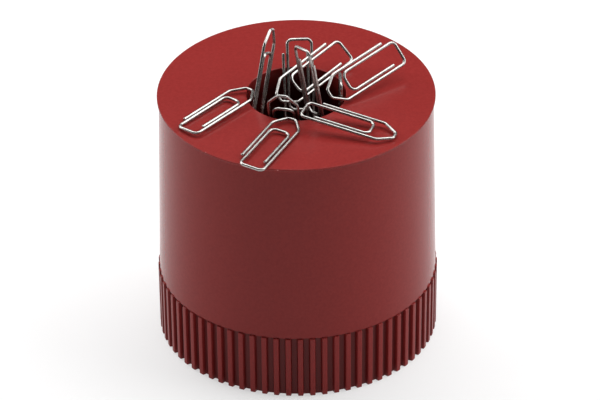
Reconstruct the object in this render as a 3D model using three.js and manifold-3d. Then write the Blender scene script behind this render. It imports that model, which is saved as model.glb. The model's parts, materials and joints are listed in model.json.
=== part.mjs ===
// Magnetic paper-clip dispenser: a smooth cap with a round well in its top, a ring magnet
// under that top, a ribbed base cup that the cap lifts off, and loose wire paper clips.
// Millimetres, +Z up, +Y away from the front. The origin is the centre of the underside.

import * as THREE from 'three';
import { mergeVertices } from 'three/addons/utils/BufferGeometryUtils.js';
import Module from 'manifold-3d';

// ---- driving dimensions -------------------------------------------------------------

const HEIGHT = 71; // underside to top face
const RIM_RADIUS = 36.5; // edge of the top face, a thin lip over the wall
const FIT_GAP = 0.3; // play between neighbouring pieces
const ROUND_STEPS = 72; // sides of the large round pieces

// cap
const LIP_HEIGHT = 0.4;
const LIP_RUNOUT = 0.5; // height over which the lip runs back into the wall
const NECK_RADIUS = 36; // wall just under the lip
const CAP_FOOT_RADIUS = 36.7; // lower edge of the wall, with mould draft
const CAP_INNER_RADIUS = 34.2;
const TOP_THICKNESS = 2.2;
const EDGE_CHAMFER = 0.2;

// well in the top
const WELL_RADIUS = 13;
const COLLAR_WALL = 1.2;
const COLLAR_DEPTH = 14;

// magnet and the pieces that hold it
const MAGNET_OUTER_RADIUS = 22;
const MAGNET_HEIGHT = 5;
const POLE_PLATE_HEIGHT = 1.2;
const RETAINER_WIDTH = 3.5;
const RETAINER_HEIGHT = 1.6;

// base cup
const BAND_HEIGHT = 18;
const BAND_TOP_RADIUS = 37.1;
const BAND_FOOT_RADIUS = 36.9;
const RIB_COUNT = 72;
const RIB_TURN = 0.75; // degrees from +X to the middle of the first rib
const RIB_DEPTH = 1;
const RIB_CREST_SHARE = 0.42; // crest width as a share of the pitch
const RIB_ROOT_SHARE = 0.46; // groove floor width as a share of the pitch
const CUP_INNER_RADIUS = 32;
const SPIGOT_HEIGHT = 7; // how far the cup plugs into the cap
const FLOOR_THICKNESS = 1.8;
const PAD_THICKNESS = 1.4;
const PAD_RADIUS = 33;
const BAND_FOOT_Z = 0.1; // the pad stands proud of the band by this much

// paper clips: a 26 mm clip with one pointed end
const WIRE_RADIUS = 0.4;
const WIRE_SIDES = 6;
const BEND_STEPS = 3;
const CLIP_HALF_WIDTH = 3.85;
const CLIP_LOOP_STEP = 1.15; // outer leg to inner leg, centre to centre
const CLIP_LENGTH = 26;

// ---- materials ----------------------------------------------------------------------

const material = (color, roughness, metalness) =>
  new THREE.MeshStandardMaterial({ color, roughness, metalness });

const makeRedPlastic = () => material(0x9c3431, 0.4, 0);
const makeBlackPlastic = () => material(0x1c1a1a, 0.6, 0);
const makeFerrite = () => material(0x35353a, 0.7, 0.2);
const makeZincSteel = () => material(0xa9adb0, 0.35, 1);
const makeFoam = () => material(0x262626, 0.95, 0);
const makeNickelWire = () => material(0xc9c8c5, 0.22, 1);

// ---- solids -------------------------------------------------------------------------

const wasm = await Module();
wasm.setup();

function toSolid(geometry) {
  const plain = geometry.clone();
  plain.deleteAttribute('normal');
  plain.deleteAttribute('uv');
  const merged = mergeVertices(plain, 1e-4);
  return new wasm.Manifold(new wasm.Mesh({
    numProp: 3,
    vertProperties: new Float32Array(merged.attributes.position.array),
    triVerts: new Uint32Array(merged.index.array),
  }));
}

function toGeometry(solid) {
  const mesh = solid.getMesh();
  const geometry = new THREE.BufferGeometry();
  geometry.setAttribute('position', new THREE.BufferAttribute(mesh.vertProperties, 3));
  geometry.setIndex(new THREE.BufferAttribute(mesh.triVerts, 1));
  geometry.computeVertexNormals();
  return geometry;
}

// A closed outline of [radius, z] points, anticlockwise, turned about Z.
function turned(outline, steps = ROUND_STEPS) {
  const points = [...outline, outline[0]].map(([radius, z]) => new THREE.Vector2(radius, z));
  return new THREE.LatheGeometry(points, steps).rotateX(Math.PI / 2);
}

function ring(innerRadius, outerRadius, lowZ, highZ) {
  return turned([
    [innerRadius, lowZ],
    [outerRadius, lowZ],
    [outerRadius, highZ],
    [innerRadius, highZ],
  ]);
}

const root = new THREE.Group();

function addPiece(name, geometry, meshMaterial, parent = root) {
  const mesh = new THREE.Mesh(geometry, meshMaterial);
  mesh.name = name;
  parent.add(mesh);
  return mesh;
}

// ---- cap ----------------------------------------------------------------------------

const capFootZ = BAND_HEIGHT + FIT_GAP;
const plateUnderZ = HEIGHT - TOP_THICKNESS;
const collarOuterRadius = WELL_RADIUS + COLLAR_WALL;
const collarFootZ = HEIGHT - COLLAR_DEPTH;

const capOutline = [
  [CAP_INNER_RADIUS, capFootZ],
  [CAP_FOOT_RADIUS, capFootZ],
  [NECK_RADIUS, HEIGHT - LIP_HEIGHT - LIP_RUNOUT],
  [RIM_RADIUS, HEIGHT - LIP_HEIGHT],
  [RIM_RADIUS, HEIGHT - EDGE_CHAMFER],
  [RIM_RADIUS - EDGE_CHAMFER, HEIGHT],
  [WELL_RADIUS + EDGE_CHAMFER, HEIGHT],
  [WELL_RADIUS, HEIGHT - EDGE_CHAMFER],
  [WELL_RADIUS, collarFootZ],
  [collarOuterRadius, collarFootZ],
  [collarOuterRadius, plateUnderZ],
  [CAP_INNER_RADIUS, plateUnderZ],
];
addPiece('cap', turned(capOutline), makeRedPlastic());

// ---- magnet stack on the collar -----------------------------------------------------

const magnetInnerRadius = collarOuterRadius + FIT_GAP;
const magnetTopZ = plateUnderZ - FIT_GAP;
const magnetFootZ = magnetTopZ - MAGNET_HEIGHT;
const magnetRing = ring(magnetInnerRadius, MAGNET_OUTER_RADIUS, magnetFootZ, magnetTopZ);
addPiece('ring_magnet', magnetRing, makeFerrite());

const plateTopZ = magnetFootZ - FIT_GAP;
const plateFootZ = plateTopZ - POLE_PLATE_HEIGHT;
const polePlate = ring(magnetInnerRadius, MAGNET_OUTER_RADIUS, plateFootZ, plateTopZ);
addPiece('pole_plate', polePlate, makeZincSteel());

const retainerTopZ = plateFootZ - FIT_GAP;
const retainer = ring(
  magnetInnerRadius,
  magnetInnerRadius + RETAINER_WIDTH,
  retainerTopZ - RETAINER_HEIGHT,
  retainerTopZ,
);
addPiece('retainer_ring', retainer, makeBlackPlastic());

// ---- base cup -----------------------------------------------------------------------

const polar = (radius, angle) =>
  new THREE.Vector2(radius * Math.cos(angle), radius * Math.sin(angle));

// One turn of flat-topped ribs, extruded upwards and then drafted outwards.
function ribbedBand() {
  const pitch = (2 * Math.PI) / RIB_COUNT;
  const rootRadius = BAND_FOOT_RADIUS - RIB_DEPTH;
  const outline = [];
  for (let i = 0; i < RIB_COUNT; i += 1) {
    const middle = THREE.MathUtils.degToRad(RIB_TURN) + i * pitch;
    const crestHalf = (pitch * RIB_CREST_SHARE) / 2;
    const rootHalf = (pitch * RIB_ROOT_SHARE) / 2;
    outline.push(polar(BAND_FOOT_RADIUS, middle - crestHalf));
    outline.push(polar(BAND_FOOT_RADIUS, middle + crestHalf));
    outline.push(polar(rootRadius, middle + pitch / 2 - rootHalf));
    outline.push(polar(rootRadius, middle + pitch / 2 + rootHalf));
  }
  const shape = new THREE.Shape(outline);
  const depth = BAND_HEIGHT - BAND_FOOT_Z;
  const band = new THREE.ExtrudeGeometry(shape, { depth, bevelEnabled: false });
  const position = band.attributes.position;
  for (let i = 0; i < position.count; i += 1) {
    const rise = position.getZ(i) / depth;
    const growth = 1 + (BAND_TOP_RADIUS / BAND_FOOT_RADIUS - 1) * rise;
    position.setXY(i, position.getX(i) * growth, position.getY(i) * growth);
  }
  return band.translate(0, 0, BAND_FOOT_Z);
}

const floorUnderZ = PAD_THICKNESS + FIT_GAP;
const floorTopZ = floorUnderZ + FLOOR_THICKNESS;
const spigotRadius = CAP_INNER_RADIUS - FIT_GAP;
const spigotTopZ = BAND_HEIGHT + SPIGOT_HEIGHT;

// The spigot starts inside the band so that the two join as one moulding.
const spigot = turned([
  [0, floorUnderZ + FLOOR_THICKNESS / 2],
  [spigotRadius, floorUnderZ + FLOOR_THICKNESS / 2],
  [spigotRadius, spigotTopZ - EDGE_CHAMFER],
  [spigotRadius - EDGE_CHAMFER, spigotTopZ],
  [0, spigotTopZ],
]);
const storeSpace = turned([
  [0, floorTopZ],
  [CUP_INNER_RADIUS, floorTopZ],
  [CUP_INNER_RADIUS, spigotTopZ + 1],
  [0, spigotTopZ + 1],
]);
const padRecess = turned([
  [0, -1],
  [PAD_RADIUS + FIT_GAP, -1],
  [PAD_RADIUS + FIT_GAP, floorUnderZ],
  [0, floorUnderZ],
]);
const baseCup = toSolid(ribbedBand())
  .add(toSolid(spigot))
  .subtract(toSolid(storeSpace))
  .subtract(toSolid(padRecess));
addPiece('base_cup', toGeometry(baseCup), makeRedPlastic());

const padOutline = [
  [0, 0],
  [PAD_RADIUS, 0],
  [PAD_RADIUS, PAD_THICKNESS],
  [0, PAD_THICKNESS],
];
addPiece('foot_pad', turned(padOutline), makeFoam());

// ---- paper clips --------------------------------------------------------------------

// Corners of the wire's centre line in the clip's own plane, from the free end of the
// outer leg, round the pointed end, back along the other leg and round to the inner loop.
// Each is [along, across, bend radius]; "along" runs from the square end to the point.
const innerWidth = CLIP_HALF_WIDTH - CLIP_LOOP_STEP;
const clipCorners = [
  [4.1, CLIP_HALF_WIDTH, 0],
  [21.4, CLIP_HALF_WIDTH, 2.2],
  [CLIP_LENGTH - 0.8, 1.15, 1],
  [CLIP_LENGTH - 0.8, -1.15, 1],
  [21.4, -CLIP_HALF_WIDTH, 2.2],
  [0.45, -CLIP_HALF_WIDTH, 1.3],
  [0.45, innerWidth, 1.3],
  [18.9, innerWidth, 1.7],
  [18.9, -innerWidth, 1.7],
  [4.1, -innerWidth, 0],
];

// Replaces each corner by an arc of its bend radius, and centres the clip on its length.
function bentLine(corners) {
  const line = [];
  corners.forEach(([along, across, radius], i) => {
    const corner = new THREE.Vector3(along - CLIP_LENGTH / 2, across, 0);
    if (radius === 0) {
      line.push(corner);
      return;
    }
    const toNeighbour = (j) => new THREE.Vector3(
      corners[j][0] - along,
      corners[j][1] - across,
      0,
    ).normalize();
    const back = toNeighbour(i - 1);
    const ahead = toNeighbour(i + 1);
    const halfAngle = back.angleTo(ahead) / 2;
    const tangentLength = radius / Math.tan(halfAngle);
    const middle = back.clone().add(ahead).normalize();
    const centre = corner.clone().addScaledVector(middle, radius / Math.sin(halfAngle));
    const start = corner.clone().addScaledVector(back, tangentLength).sub(centre);
    const turn = Math.PI - 2 * halfAngle;
    const axis = back.clone().cross(ahead).normalize().negate();
    for (let step = 0; step <= BEND_STEPS; step += 1) {
      const arm = start.clone().applyAxisAngle(axis, (turn * step) / BEND_STEPS);
      line.push(arm.add(centre));
    }
  });
  return line;
}

// A path whose samples fall exactly on the points of its line.
class PointPath extends THREE.Curve {
  constructor(line) {
    super();
    this.line = line;
  }

  getPoint(t) {
    const place = Math.min(Math.max(t, 0), 1) * (this.line.length - 1);
    const i = Math.min(Math.floor(place), this.line.length - 2);
    return this.line[i].clone().lerp(this.line[i + 1], place - i);
  }

  getPointAt(u) {
    return this.getPoint(u);
  }

  getTangentAt(u) {
    return this.getTangent(u);
  }
}

const wireSection = new THREE.Shape(
  Array.from({ length: WIRE_SIDES }, (_, i) =>
    polar(WIRE_RADIUS, (2 * Math.PI * i) / WIRE_SIDES)),
);
const clipLine = bentLine(clipCorners);

function clipGeometry() {
  return new THREE.ExtrudeGeometry(wireSection, {
    steps: clipLine.length - 1,
    extrudePath: new PointPath(clipLine),
  });
}

// Places a clip by its middle [x, y, z] and by three turns in degrees: its heading about
// Z, the climb of its pointed end, and the roll about its own length.
function addClip(name, [x, y, z], heading, climb, roll) {
  const clip = addPiece(name, clipGeometry(), makeNickelWire());
  clip.position.set(x, y, z);
  clip.rotation.order = 'ZYX';
  const { degToRad } = THREE.MathUtils;
  clip.rotation.set(degToRad(roll), degToRad(-climb), degToRad(heading));
}

// On the top face: one left of the well, one over the front rim, one right of centre.
addClip('clip_left', [-20.3, -8.8, 72], 48, 1, -4);
addClip('clip_front', [-6.6, -24.8, 71.9], 63, 0, 4);
addClip('clip_right', [14, -17.7, 73.4], -20, -8, 1);
// Leaning across the edge of the well, point downwards: at the right, and behind it.
addClip('clip_leaning', [17.7, 2.5, 75.8], 222, -7, 131);
addClip('clip_leaning_back', [4, 6.2, 73.2], 225, -10, 139);
// Standing in the well.
addClip('clip_standing_left', [-8.4, 1.8, 75.5], 67, 63, 91);
addClip('clip_standing_front', [-3.1, -9.7, 68.6], 84, 115, -4);
addClip('clip_standing_centre', [3.9, -3.8, 73.6], -220, -102, -75);
addClip('clip_standing_back', [0.7, 8.4, 67.6], -87, -58, 170);
addClip('clip_standing_right', [11.6, -0.3, 63.4], -10, -90, -12);

// The store: loose clips lying on the cup's floor in two layers.
const lowLayerZ = floorTopZ + FIT_GAP + WIRE_RADIUS;
const highLayerZ = lowLayerZ + 2 * WIRE_RADIUS + FIT_GAP;
addClip('clip_stored_1', [-12, 8, lowLayerZ], 30, 0, 0);
addClip('clip_stored_2', [10, 12, lowLayerZ], -50, 0, 0);
addClip('clip_stored_3', [4, -14, lowLayerZ], 10, 0, 0);
addClip('clip_stored_4', [-13, -8, highLayerZ], 75, 0, 0);
addClip('clip_stored_5', [14, -4, highLayerZ], 100, 0, 0);
addClip('clip_stored_6', [-7, 15, highLayerZ], -15, 0, 0);

export default root;
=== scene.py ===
"""Magnetic paper-clip dispenser: the finished surfaces and materials over the CAD frame.

Metres, +Z up. The front of the object faces -Y.
"""

import json
import math

import bpy
from mathutils import Euler, Matrix, Vector


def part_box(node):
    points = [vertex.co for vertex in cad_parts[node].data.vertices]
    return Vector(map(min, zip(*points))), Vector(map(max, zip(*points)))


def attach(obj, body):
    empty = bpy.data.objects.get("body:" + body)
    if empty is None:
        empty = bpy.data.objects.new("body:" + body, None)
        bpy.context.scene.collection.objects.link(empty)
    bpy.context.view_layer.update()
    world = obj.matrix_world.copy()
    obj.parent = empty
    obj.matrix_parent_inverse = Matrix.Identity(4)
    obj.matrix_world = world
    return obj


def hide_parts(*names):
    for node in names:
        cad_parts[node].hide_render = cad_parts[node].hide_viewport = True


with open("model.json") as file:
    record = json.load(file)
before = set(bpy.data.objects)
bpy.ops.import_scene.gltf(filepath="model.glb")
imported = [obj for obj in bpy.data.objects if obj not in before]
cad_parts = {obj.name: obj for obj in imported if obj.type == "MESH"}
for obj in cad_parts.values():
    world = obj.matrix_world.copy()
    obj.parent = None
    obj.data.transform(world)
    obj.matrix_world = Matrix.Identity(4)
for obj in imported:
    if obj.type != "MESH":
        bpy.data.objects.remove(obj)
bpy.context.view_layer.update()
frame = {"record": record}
MM = 0.001

# ---- sizes taken from the frame -----------------------------------------------------

CAP_LOW, CAP_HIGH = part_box("cap")
BASE_LOW, BASE_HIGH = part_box("base_cup")
PAD_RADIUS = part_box("foot_pad")[1][0]
TOP_Z = CAP_HIGH[2]
CAP_FOOT_Z = CAP_LOW[2]
SPIGOT_TOP_Z = BASE_HIGH[2]
BAND_FOOT_Z = BASE_LOW[2]

# ---- named sizes of the mouldings ---------------------------------------------------

RIM_RADIUS = 36.5 * MM
LIP_HEIGHT = 0.4 * MM
LIP_RUNOUT = 0.5 * MM
NECK_RADIUS = 36 * MM
CAP_FOOT_RADIUS = 36.7 * MM
CAP_INNER_RADIUS = 34.2 * MM
TOP_THICKNESS = 2.2 * MM
WELL_RADIUS = 13 * MM
COLLAR_WALL = 1.2 * MM
COLLAR_DEPTH = 14 * MM
FIT_GAP = 0.3 * MM
RING_BORE = WELL_RADIUS + COLLAR_WALL + FIT_GAP
SEAM_GAP = 0.06 * MM
BAND_TOP_Z = CAP_FOOT_Z - SEAM_GAP
BAND_TOP_RADIUS = 37.1 * MM
BAND_FOOT_RADIUS = 36.9 * MM
CUP_INNER_RADIUS = 32 * MM
SPIGOT_RADIUS = CAP_INNER_RADIUS - FIT_GAP
FLOOR_TOP_Z = 3.5 * MM
FLOOR_UNDER_Z = 1.7 * MM
RIB_COUNT = 72
RIB_DEPTH = 1.0 * MM
RIB_TURN = math.radians(0.75)  # from +X to the middle of the first rib
GROOVE_RADIUS = BAND_FOOT_RADIUS - RIB_DEPTH
ROUND_STEPS = 240  # sides of a turned ring

# ---- mesh helpers -------------------------------------------------------------------


def link(name, mesh, material, crease_degrees=40):
    """Makes a shown object of a mesh, shaded smooth between its crease angles."""
    piece = bpy.data.objects.new(name, mesh)
    bpy.context.scene.collection.objects.link(piece)
    mesh.materials.append(material)
    mesh.polygons.foreach_set("use_smooth", [True] * len(mesh.polygons))
    mesh.set_sharp_from_angle(angle=math.radians(crease_degrees))
    return piece


def even_normals(piece):
    """Keeps the big flat faces flat where they meet small rounded edges."""
    weighted = piece.modifiers.new("even_normals", "WEIGHTED_NORMAL")
    weighted.keep_sharp = True
    weighted.weight = 100


def stand_for(piece, node):
    """The piece replaces a CAD node: it rides on the node's body, and the node is hidden."""
    bodies = frame["record"]["behaviour"]["bodies"]
    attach(piece, next(body for body, nodes in bodies.items() if node in nodes))
    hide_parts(node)


def rounded_outline(corners, steps=5):
    """Points of an [x, y, bend] outline with each corner rounded by its bend.

    A bend of 0 leaves its corner sharp, as at both ends of an open outline.
    """
    points = []
    count = len(corners)
    for i, (x, y, bend) in enumerate(corners):
        corner = Vector((x, y))
        if bend == 0:
            points.append(corner)
            continue
        back = (Vector(corners[i - 1][:2]) - corner).normalized()
        ahead = (Vector(corners[(i + 1) % count][:2]) - corner).normalized()
        half = back.angle(ahead) / 2
        centre = corner + (back + ahead).normalized() * (bend / math.sin(half))
        start = corner + back * (bend / math.tan(half)) - centre
        end = corner + ahead * (bend / math.tan(half)) - centre
        turn = -start.angle_signed(end)
        for step in range(steps + 1):
            points.append(centre + Matrix.Rotation(turn * step / steps, 2) @ start)
    return points


def turned_mesh(name, outline, steps=ROUND_STEPS):
    """A closed outline of (radius, z) turned about Z. Points on the axis become poles."""
    verts = []
    rings = []
    for radius, z in outline:
        if radius < 1e-7:
            rings.append([len(verts)] * steps)
            verts.append((0, 0, z))
            continue
        rings.append(list(range(len(verts), len(verts) + steps)))
        for k in range(steps):
            angle = 2 * math.pi * k / steps
            verts.append((radius * math.cos(angle), radius * math.sin(angle), z))
    return rings_to_mesh(name, verts, rings, steps)


def rings_to_mesh(name, verts, rings, steps):
    """Joins each ring of vertex numbers to the next, and the last to the first."""
    faces = []
    for i, lower in enumerate(rings):
        upper = rings[(i + 1) % len(rings)]
        for k in range(steps):
            after = (k + 1) % steps
            quad = [lower[k], lower[after], upper[after], upper[k]]
            face = list(dict.fromkeys(quad))
            if len(face) > 2:
                faces.append(face)
    mesh = bpy.data.meshes.new(name)
    mesh.from_pydata(verts, [], faces)
    mesh.validate()
    return mesh


def ring_piece(name, node, inner, edge, material):
    """A flat ring, or a disc if inner is 0, with rounded edges, sized by its CAD node's box."""
    low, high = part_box(node)
    outer = high[0]
    corners = [
        (inner, low[2], edge if inner else 0),
        (outer, low[2], edge),
        (outer, high[2], edge),
        (inner, high[2], edge if inner else 0),
    ]
    piece = link(name, turned_mesh(name, rounded_outline(corners, 3)), material)
    even_normals(piece)
    stand_for(piece, node)


# ---- material helpers ---------------------------------------------------------------


class Finish:
    """A Principled material with a short way to add its procedural nodes."""

    def __init__(self, name):
        self.material = bpy.data.materials.new(name)
        self.material.use_nodes = True
        self.nodes = self.material.node_tree.nodes
        self.links = self.material.node_tree.links
        self.shader = self.nodes["Principled BSDF"]
        self.place = self.nodes.new("ShaderNodeTexCoord").outputs["Object"]

    def set(self, **values):
        for socket, value in values.items():
            self.shader.inputs[socket.replace("_", " ")].default_value = value

    def noise(self, scale, detail=2.0, rough=0.5, stretch=(1, 1, 1)):
        mapping = self.nodes.new("ShaderNodeMapping")
        mapping.inputs["Scale"].default_value = stretch
        self.links.new(self.place, mapping.inputs["Vector"])
        noise = self.nodes.new("ShaderNodeTexNoise")
        noise.inputs["Scale"].default_value = scale
        noise.inputs["Detail"].default_value = detail
        noise.inputs["Roughness"].default_value = rough
        self.links.new(mapping.outputs["Vector"], noise.inputs["Vector"])
        return noise.outputs["Fac"]

    def cells(self, scale):
        cells = self.nodes.new("ShaderNodeTexVoronoi")
        cells.inputs["Scale"].default_value = scale
        self.links.new(self.place, cells.inputs["Vector"])
        return cells.outputs["Distance"]

    def ramp(self, factor, stops):
        ramp = self.nodes.new("ShaderNodeValToRGB")
        band = ramp.color_ramp
        while len(band.elements) < len(stops):
            band.elements.new(0.5)
        for element, (position, colour) in zip(band.elements, stops):
            element.position = position
            element.color = (*colour, 1)
        self.links.new(factor, ramp.inputs["Fac"])
        return ramp.outputs["Color"]

    def span(self, factor, low, high, start=0.0, end=1.0):
        """Maps start..end of a factor to low..high."""
        mapped = self.nodes.new("ShaderNodeMapRange")
        mapped.inputs["From Min"].default_value = start
        mapped.inputs["From Max"].default_value = end
        mapped.inputs["To Min"].default_value = low
        mapped.inputs["To Max"].default_value = high
        self.links.new(factor, mapped.inputs["Value"])
        return mapped.outputs["Result"]

    def math(self, operation, first, second):
        node = self.nodes.new("ShaderNodeMath")
        node.operation = operation
        for socket, value in zip(node.inputs, (first, second)):
            if isinstance(value, (int, float)):
                socket.default_value = value
            else:
                self.links.new(value, socket)
        return node.outputs["Value"]

    def mix(self, factor, first, second):
        mix = self.nodes.new("ShaderNodeMix")
        mix.data_type = "RGBA"
        self.links.new(factor, mix.inputs["Factor"])
        for socket, value in (("A", first), ("B", second)):
            target = next(s for s in mix.inputs if s.name == socket and s.type == "RGBA")
            if isinstance(value, tuple):
                target.default_value = (*value, 1)
            else:
                self.links.new(value, target)
        return next(s for s in mix.outputs if s.type == "RGBA")

    def radius_and_height(self):
        """The distance from the object's axis, and the height, in metres."""
        split = self.nodes.new("ShaderNodeSeparateXYZ")
        self.links.new(self.place, split.inputs["Vector"])
        across = self.math("MULTIPLY", split.outputs["X"], split.outputs["X"])
        along = self.math("MULTIPLY", split.outputs["Y"], split.outputs["Y"])
        radius = self.math("SQRT", self.math("ADD", across, along), 0)
        return radius, split.outputs["Z"]

    def into(self, socket, value):
        self.links.new(value, self.shader.inputs[socket])

    def bump(self, *layers):
        """Stacks (height, depth in metres, strength) layers of relief."""
        normal = None
        for height, depth, strength in layers:
            bump = self.nodes.new("ShaderNodeBump")
            bump.inputs["Distance"].default_value = depth
            bump.inputs["Strength"].default_value = strength
            self.links.new(height, bump.inputs["Height"])
            if normal is not None:
                self.links.new(normal, bump.inputs["Normal"])
            normal = bump.outputs["Normal"]
        self.links.new(normal, self.shader.inputs["Normal"])


# ---- materials ----------------------------------------------------------------------

# Size of the rim's scuffs. Their pale nicks are also painted glints.
RIM_WEAR_GLINT_WIDTH = 0.35 * MM
RIM_WEAR_GLINT_HEIGHT = 0.5 * MM
WELL_SHADE_TOP_Z = TOP_Z - 0.5 * MM
WELL_SHADE_FULL_Z = TOP_Z - 6 * MM
WELL_SHADE_FOOT_Z = TOP_Z - COLLAR_DEPTH - 2 * MM
RED_DEEP = (0.222, 0.0198, 0.0182)
RED_BRIGHT = (0.256, 0.0244, 0.0222)
# Scuff colour of the rim's nicks, which is also a painted glint.
RED_SCUFF_GLINT = (0.62, 0.27, 0.25)
# Painted shade: the colour of the groove floors between the ribs.
RED_GROOVE_SHADE = (0.128, 0.0105, 0.0100)
# Painted shade: the colour of the well's bore below its mouth.
RED_WELL_SHADE = (0.060, 0.0050, 0.0048)


def red_plastic(name, roughness, grain_depth):
    """Glossy moulded plastic: fine grain, mottling, painted shade in the grooves and the well, a
    scuffed rim with painted glints.
    """
    finish = Finish(name)
    finish.set(Specular_IOR_Level=0.15, IOR=1.5)
    mottle = finish.noise(1400, 3)
    body = finish.ramp(mottle, [(0.3, RED_DEEP), (0.7, RED_BRIGHT)])
    radius, height = finish.radius_and_height()
    # Real scuffs and painted glints: pale nicks along the rim's top edge.
    at_edge = finish.span(radius, 0, 1, RIM_RADIUS - RIM_WEAR_GLINT_WIDTH, RIM_RADIUS - 0.1 * MM)
    at_top = finish.span(height, 0, 1, TOP_Z - RIM_WEAR_GLINT_HEIGHT, TOP_Z - 0.2 * MM)
    nicks_and_glints = finish.span(finish.noise(420, 3, 0.6), 0, 1, 0.66, 0.7)
    wear_and_glint = finish.math("MULTIPLY", finish.math("MULTIPLY", at_edge, at_top), nicks_and_glints)
    # Painted shade: the groove floors are darkened to stand in for the shade between the ribs.
    below_crest = finish.span(radius, 1, 0, GROOVE_RADIUS + 0.2 * MM, GROOVE_RADIUS + 0.8 * MM)
    above_root = finish.span(radius, 0, 1, GROOVE_RADIUS - 0.4 * MM, GROOVE_RADIUS - 0.2 * MM)
    low_down = finish.span(height, 1, 0, BAND_TOP_Z, BAND_TOP_Z + 0.1 * MM)
    groove_shade_mask = finish.math("MULTIPLY", finish.math("MULTIPLY", below_crest, above_root), low_down)
    shaded = finish.mix(groove_shade_mask, body, RED_GROOVE_SHADE)
    # Painted shade: the well's bore is darkened below its mouth to stand in for the shade deep in
    # the well.
    in_bore = finish.span(radius, 1, 0, WELL_RADIUS + 0.1 * MM, WELL_RADIUS + 0.5 * MM)
    below_mouth = finish.span(height, 1, 0, WELL_SHADE_FULL_Z, WELL_SHADE_TOP_Z)
    above_stock = finish.span(height, 0, 1, WELL_SHADE_FOOT_Z - 2 * MM, WELL_SHADE_FOOT_Z)
    well_shade_mask = finish.math("MULTIPLY", finish.math("MULTIPLY", in_bore, below_mouth), above_stock)
    shaded = finish.mix(well_shade_mask, shaded, RED_WELL_SHADE)
    finish.into("Base Color", finish.mix(wear_and_glint, shaded, RED_SCUFF_GLINT))
    smears = finish.noise(140, 5, 0.6)
    finish.into("Roughness", finish.span(smears, roughness - 0.03, roughness + 0.04))
    grain = finish.noise(2600, 2)
    waves = finish.noise(40, 1)
    finish.bump((waves, 0.2 * MM, 0.05), (grain, grain_depth, 0.5))
    return finish.material


def nickel_wire():
    """Bright plated wire with fine drawing lines and slight dulling."""
    finish = Finish("nickel_wire")
    finish.set(Metallic=1.0)
    dulling = finish.noise(500, 4, 0.6)
    finish.into("Base Color", finish.ramp(
        dulling,
        [(0.25, (0.29, 0.28, 0.268)), (0.6, (0.49, 0.475, 0.455))],
    ))
    drawn = finish.noise(9000, 2, 0.5, (0.06, 1, 1))
    finish.into("Roughness", finish.span(drawn, 0.2, 0.34))
    finish.bump((drawn, 0.01 * MM, 0.2), (dulling, 0.03 * MM, 0.25))
    return finish.material


def ferrite():
    """Sintered magnet: dark, faintly metallic, with coarse pressed grain."""
    finish = Finish("ferrite")
    finish.set(Metallic=0.2)
    grain = finish.noise(1500, 6, 0.7)
    finish.into("Base Color", finish.ramp(
        grain,
        [(0.3, (0.020, 0.020, 0.023)), (0.7, (0.055, 0.055, 0.060))],
    ))
    finish.into("Roughness", finish.span(grain, 0.5, 0.8))
    finish.bump((grain, 0.08 * MM, 0.5))
    return finish.material


def zinc_steel():
    """Zinc-plated sheet steel with a spangle and brushed lines."""
    finish = Finish("zinc_steel")
    finish.set(Metallic=1.0)
    spangle = finish.cells(300)
    finish.into("Base Color", finish.ramp(
        spangle,
        [(0.1, (0.46, 0.48, 0.50)), (0.6, (0.62, 0.63, 0.63))],
    ))
    lines = finish.noise(2500, 2, 0.5, (1, 0.05, 1))
    finish.into("Roughness", finish.span(lines, 0.25, 0.45))
    finish.bump((lines, 0.02 * MM, 0.3))
    return finish.material


def black_plastic():
    finish = Finish("black_plastic")
    tone = finish.noise(200, 3)
    finish.into("Base Color", finish.ramp(
        tone,
        [(0.3, (0.010, 0.010, 0.010)), (0.7, (0.020, 0.019, 0.019))],
    ))
    finish.into("Roughness", finish.span(tone, 0.45, 0.65))
    finish.bump((finish.noise(3000, 2), 0.03 * MM, 0.5))
    return finish.material


def foam():
    """Closed-cell foam: dull black with small cells."""
    finish = Finish("foam")
    cells = finish.cells(1800)
    finish.into("Base Color", finish.ramp(
        cells,
        [(0.1, (0.008, 0.008, 0.008)), (0.6, (0.030, 0.030, 0.030))],
    ))
    finish.into("Roughness", finish.span(cells, 0.85, 1.0))
    finish.bump((cells, 0.15 * MM, 0.8))
    return finish.material


def floor_paper():
    finish = Finish("floor_paper")
    tone = finish.noise(30, 2)
    finish.into("Base Color", finish.ramp(
        tone,
        [(0.0, (0.40, 0.40, 0.40)), (1.0, (0.43, 0.43, 0.43))],
    ))
    finish.set(Roughness=0.9, Specular_IOR_Level=0.1)
    finish.set(Emission_Color=(1, 1, 1, 1), Emission_Strength=0.56)
    return finish.material


RED_CAP = red_plastic("red_cap", 0.18, 0.02 * MM)
RED_BASE = red_plastic("red_base", 0.3, 0.03 * MM)
WIRE = nickel_wire()

# ---- cap ----------------------------------------------------------------------------

# Radii of the rounded edges.
RIM_EDGE = 0.16 * MM
LIP_EDGE = 0.12 * MM
NECK_BEND = 0.3 * MM
WELL_EDGE = 0.28 * MM
COLLAR_EDGE = 0.4 * MM
FOOT_OUTER_EDGE = 0.1 * MM
FOOT_INNER_EDGE = 0.2 * MM
INSIDE_FILLET = 0.5 * MM

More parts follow.
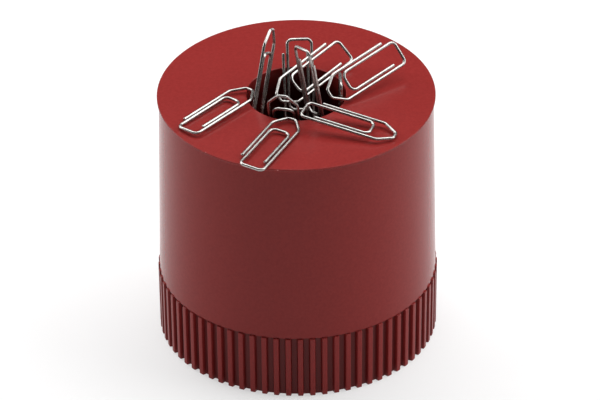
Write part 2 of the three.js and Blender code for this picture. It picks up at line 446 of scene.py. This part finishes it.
plate_under_z = TOP_Z - TOP_THICKNESS
collar_foot_z = TOP_Z - COLLAR_DEPTH
collar_radius = WELL_RADIUS + COLLAR_WALL
cap_corners = [
    (CAP_INNER_RADIUS, CAP_FOOT_Z, FOOT_INNER_EDGE),
    (CAP_FOOT_RADIUS, CAP_FOOT_Z, FOOT_OUTER_EDGE),
    (NECK_RADIUS, TOP_Z - LIP_HEIGHT - LIP_RUNOUT, NECK_BEND),
    (RIM_RADIUS, TOP_Z - LIP_HEIGHT, LIP_EDGE),
    (RIM_RADIUS, TOP_Z, RIM_EDGE),
    (WELL_RADIUS, TOP_Z, WELL_EDGE),
    (WELL_RADIUS, collar_foot_z, COLLAR_EDGE),
    (collar_radius, collar_foot_z, COLLAR_EDGE),
    (collar_radius, plate_under_z, INSIDE_FILLET),
    (CAP_INNER_RADIUS, plate_under_z, INSIDE_FILLET),
]
cap = link("cap_shell", turned_mesh("cap_shell", rounded_outline(cap_corners)), RED_CAP)
even_normals(cap)
stand_for(cap, "cap")

# ---- base cup -----------------------------------------------------------------------

RIB_POINTS = 20  # samples across one rib and its groove
CREST_SHARE = 0.38  # of the pitch, the flat crest
ROOT_SHARE = 0.46  # of the pitch, the flat root of the groove
MOULDING_EDGE = 0.25 * MM


def rib_relief(share):
    """How deep the surface lies at a share of the pitch, 0 on the crest to 1 in the groove."""
    away = abs(share - 0.5) * 2  # 0 in the middle of the groove, 1 on the crest's middle
    rise = (away - ROOT_SHARE) / (1 - CREST_SHARE - ROOT_SHARE)
    rise = min(max(rise, 0), 1)
    return 1 - rise * rise * (3 - 2 * rise)


def base_mesh():
    """The ribbed band, spigot, floor and pad recess as rings of (radius, z, relief)."""
    pad_wall = PAD_RADIUS + FIT_GAP
    crest_low = BAND_FOOT_RADIUS
    crest_high = BAND_TOP_RADIUS
    rings_wanted = [
        (0, FLOOR_UNDER_Z, 0),
        (pad_wall, FLOOR_UNDER_Z, 0),
        (pad_wall, BAND_FOOT_Z + MOULDING_EDGE, 0),
        (pad_wall + MOULDING_EDGE, BAND_FOOT_Z, 0),
        (crest_low - 1.3 * MM, BAND_FOOT_Z, 0),
        (crest_low - MOULDING_EDGE, BAND_FOOT_Z, 0.95),
        (crest_low - 0.07 * MM, BAND_FOOT_Z + 0.07 * MM, 1),
        (crest_low, BAND_FOOT_Z + MOULDING_EDGE, 1),
        (crest_high, BAND_TOP_Z - 0.2 * MM, 1),
        (crest_high - 0.06 * MM, BAND_TOP_Z - 0.06 * MM, 1),
        (crest_high - 0.2 * MM, BAND_TOP_Z, 0.95),
        (crest_high - 1.2 * MM, BAND_TOP_Z, 0),
        (SPIGOT_RADIUS + MOULDING_EDGE, BAND_TOP_Z, 0),
        (SPIGOT_RADIUS, BAND_TOP_Z + MOULDING_EDGE, 0),
        (SPIGOT_RADIUS, SPIGOT_TOP_Z - MOULDING_EDGE, 0),
        (SPIGOT_RADIUS - MOULDING_EDGE, SPIGOT_TOP_Z, 0),
        (CUP_INNER_RADIUS + MOULDING_EDGE, SPIGOT_TOP_Z, 0),
        (CUP_INNER_RADIUS, SPIGOT_TOP_Z - MOULDING_EDGE, 0),
        (CUP_INNER_RADIUS, FLOOR_TOP_Z + 2 * MOULDING_EDGE, 0),
        (CUP_INNER_RADIUS - 2 * MOULDING_EDGE, FLOOR_TOP_Z, 0),
        (0, FLOOR_TOP_Z, 0),
    ]
    steps = RIB_COUNT * RIB_POINTS
    verts = []
    rings = []
    for radius, z, relief in rings_wanted:
        if radius == 0:
            rings.append([len(verts)] * steps)
            verts.append((0, 0, z))
            continue
        rings.append(list(range(len(verts), len(verts) + steps)))
        for k in range(steps):
            share = (k % RIB_POINTS) / RIB_POINTS
            reach = radius - relief * RIB_DEPTH * rib_relief(share)
            angle = RIB_TURN + 2 * math.pi * k / steps
            verts.append((reach * math.cos(angle), reach * math.sin(angle), z))
    return rings_to_mesh("base_moulding", verts, rings, steps)


base = link("base_moulding", base_mesh(), RED_BASE)
even_normals(base)
stand_for(base, "base_cup")

ring_piece("ring_magnet_body", "ring_magnet", RING_BORE, 0.4 * MM, ferrite())
ring_piece("pole_plate_body", "pole_plate", RING_BORE, 0.15 * MM, zinc_steel())
ring_piece("retainer_ring_body", "retainer_ring", RING_BORE, 0.3 * MM, black_plastic())
ring_piece("foot_pad_body", "foot_pad", 0, 0.3 * MM, foam())

# ---- paper clips --------------------------------------------------------------------

WIRE_RADIUS = 0.4 * MM
WIRE_SIDES = 14
WIRE_DOME = 0.12 * MM  # how far the cropped ends bulge
WIRE_END_SHARE = 0.72  # of the wire's radius, the flat of a cropped end
BEND_STEPS = 8

# The clip's sizes below are in mm.
CLIP_LENGTH = 26
HALF_WIDTH = 3.85
LOOP_STEP = 1.15  # from the outer loop's run to the inner loop's
INNER_WIDTH = HALF_WIDTH - LOOP_STEP
NOSE_HALF_WIDTH = 1.15
NOSE = CLIP_LENGTH - 0.8
SHOULDER = 21.4
INNER_NOSE = 18.9
TAIL = 0.45
WIRE_END = 4.1
SHOULDER_BEND = 2.2
NOSE_BEND = 1
INNER_BEND = 1.7
TAIL_BEND = 1.3

# Corners of the wire's centre line in the clip's plane, as [along, across, bend].
CLIP_CORNERS = [
    (WIRE_END, HALF_WIDTH, 0),
    (SHOULDER, HALF_WIDTH, SHOULDER_BEND),
    (NOSE, NOSE_HALF_WIDTH, NOSE_BEND),
    (NOSE, -NOSE_HALF_WIDTH, NOSE_BEND),
    (SHOULDER, -HALF_WIDTH, SHOULDER_BEND),
    (TAIL, -HALF_WIDTH, TAIL_BEND),
    (TAIL, INNER_WIDTH, TAIL_BEND),
    (INNER_NOSE, INNER_WIDTH, INNER_BEND),
    (INNER_NOSE, -INNER_WIDTH, INNER_BEND),
    (WIRE_END, -INNER_WIDTH, 0),
]

STOCK_LOW = 4.2  # heights of the two layers of loose stock
STOCK_HIGH = 5.3

# Each clip's middle, and its heading, climb and roll in degrees.
CLIP_PLACES = {
    "clip_left": ((-20.3, -8.8, 72), 48, 1, -4),
    "clip_front": ((-6.6, -24.8, 71.9), 63, 0, 4),
    "clip_right": ((14, -17.7, 73.4), -20, -8, 1),
    "clip_leaning": ((17.7, 2.5, 75.8), 222, -7, 131),
    "clip_leaning_back": ((4, 6.2, 73.2), 225, -10, 139),
    "clip_standing_left": ((-8.4, 1.8, 75.5), 67, 63, 91),
    "clip_standing_front": ((-3.1, -9.7, 68.6), 84, 115, -4),
    "clip_standing_centre": ((3.9, -3.8, 73.6), -220, -102, -75),
    "clip_standing_back": ((0.7, 8.4, 67.6), -87, -58, 170),
    "clip_standing_right": ((11.6, -0.3, 63.4), -10, -90, -12),
    "clip_stored_1": ((-12, 8, STOCK_LOW), 30, 0, 0),
    "clip_stored_2": ((10, 12, STOCK_LOW), -50, 0, 0),
    "clip_stored_3": ((4, -14, STOCK_LOW), 10, 0, 0),
    "clip_stored_4": ((-13, -8, STOCK_HIGH), 75, 0, 0),
    "clip_stored_5": ((14, -4, STOCK_HIGH), 100, 0, 0),
    "clip_stored_6": ((-7, 15, STOCK_HIGH), -15, 0, 0),
}


def clip_line():
    """The wire's centre line in metres, about the clip's middle."""
    middle = Vector((CLIP_LENGTH / 2, 0))
    return [(point - middle) * MM for point in rounded_outline(CLIP_CORNERS, BEND_STEPS)]


def wire_mesh():
    """Round wire swept along the clip's line, with slightly domed, cropped ends."""
    line = clip_line()
    stations = []
    for i, point in enumerate(line):
        before = (point - line[i - 1]).normalized() if i else None
        after = (line[i + 1] - point).normalized() if i < len(line) - 1 else None
        heading = ((before or after) + (after or before)).normalized()
        spread = 1 / max(heading.dot(before or after), 0.5)
        stations.append((point, heading, spread, 1.0))
    (first, first_heading, *_), (last, last_heading, *_) = stations[0], stations[-1]
    stations.insert(0, (first - first_heading * WIRE_DOME, first_heading, 1, WIRE_END_SHARE))
    stations.append((last + last_heading * WIRE_DOME, last_heading, 1, WIRE_END_SHARE))
    verts = []
    for point, heading, spread, size in stations:
        side = Vector((-heading.y, heading.x))
        for k in range(WIRE_SIDES):
            angle = 2 * math.pi * k / WIRE_SIDES
            offset = side * (math.cos(angle) * WIRE_RADIUS * spread * size)
            height = math.sin(angle) * WIRE_RADIUS * size
            verts.append((point.x + offset.x, point.y + offset.y, height))
    faces = []
    for i in range(len(stations) - 1):
        for k in range(WIRE_SIDES):
            after = (k + 1) % WIRE_SIDES
            low, high = i * WIRE_SIDES, (i + 1) * WIRE_SIDES
            faces.append((low + k, low + after, high + after, high + k))
    top = (len(stations) - 1) * WIRE_SIDES
    faces.append(tuple(reversed(range(WIRE_SIDES))))
    faces.append(tuple(range(top, top + WIRE_SIDES)))
    mesh = bpy.data.meshes.new("clip_wire")
    mesh.from_pydata(verts, [], faces)
    mesh.validate()
    return mesh


for node, (middle, heading, climb, roll) in CLIP_PLACES.items():
    clip = link(f"{node}_wire", wire_mesh(), WIRE)
    turn = Euler((math.radians(roll), math.radians(-climb), math.radians(heading)), "XYZ")
    clip.matrix_world = Matrix.Translation(Vector(middle) * MM) @ turn.to_matrix().to_4x4()
    stand_for(clip, node)

# ---- floor, lights and camera -------------------------------------------------------

FLOOR_HALF = 6.0
LIGHT_AIM = Vector((0, 0, 0.04))
WORLD_STRENGTH = 0.02
FLOOR_Z = -0.05 * MM  # just clear of the pad, so that the two faces do not coincide
floor_mesh = bpy.data.meshes.new("floor")
floor_mesh.from_pydata(
    [(-FLOOR_HALF, -FLOOR_HALF, FLOOR_Z), (FLOOR_HALF, -FLOOR_HALF, FLOOR_Z),
     (FLOOR_HALF, FLOOR_HALF, FLOOR_Z), (-FLOOR_HALF, FLOOR_HALF, FLOOR_Z)],
    [],
    [(0, 1, 2, 3)],
)
floor = bpy.data.objects.new("floor", floor_mesh)
floor_mesh.materials.append(floor_paper())
bpy.context.scene.collection.objects.link(floor)


def softbox(name, place, size, power):
    """A white rectangular area light at place, facing the object's middle."""
    data = bpy.data.lights.new(name, "AREA")
    data.shape = "RECTANGLE"
    data.size, data.size_y = size
    data.energy = power
    lamp = bpy.data.objects.new(name, data)
    bpy.context.scene.collection.objects.link(lamp)
    lamp.location = place
    lamp.rotation_euler = (LIGHT_AIM - Vector(place)).to_track_quat("-Z", "Y").to_euler()


softbox("top_box", (0.15, 0.38, 1.05), (3.2, 1.0), 35)
softbox("right_box", (1.25, 0.1, 0.5), (0.5, 0.7), 3.2)
softbox("left_box", (-1.25, 0.35, 0.5), (0.4, 0.6), 6.0)

world = bpy.data.worlds.new("studio")
world.use_nodes = True
background = world.node_tree.nodes["Background"]
background.inputs["Color"].default_value = (1, 1, 1, 1)
background.inputs["Strength"].default_value = WORLD_STRENGTH
bpy.context.scene.world = world
bpy.context.scene.view_settings.view_transform = "Standard"

# A long lens from well back, looking down over the front edge.
CAMERA_DISTANCE = 1.635
CAMERA_ELEVATION = math.radians(33.63)
CAMERA_ROLL = math.radians(0.54)
FOCAL_MM = 370.6
SENSOR_MM = 36
SHIFT = (0.0046, 0.0107)

right = Vector((1, 0, 0))
up = Vector((0, math.sin(CAMERA_ELEVATION), math.cos(CAMERA_ELEVATION)))
back = right.cross(up)
image_x = right * math.cos(CAMERA_ROLL) - up * math.sin(CAMERA_ROLL)
image_y = right * math.sin(CAMERA_ROLL) + up * math.cos(CAMERA_ROLL)
camera_place = Vector((0, 0, TOP_Z / 2)) + back * CAMERA_DISTANCE

camera_data = bpy.data.cameras.new("camera")
camera_data.lens = FOCAL_MM
camera_data.sensor_width = SENSOR_MM
camera_data.shift_x, camera_data.shift_y = SHIFT
camera = bpy.data.objects.new("camera", camera_data)
bpy.context.scene.collection.objects.link(camera)
axes = Matrix((image_x, image_y, back)).transposed().to_4x4()
camera.matrix_world = Matrix.Translation(camera_place) @ axes
bpy.context.scene.camera = camera
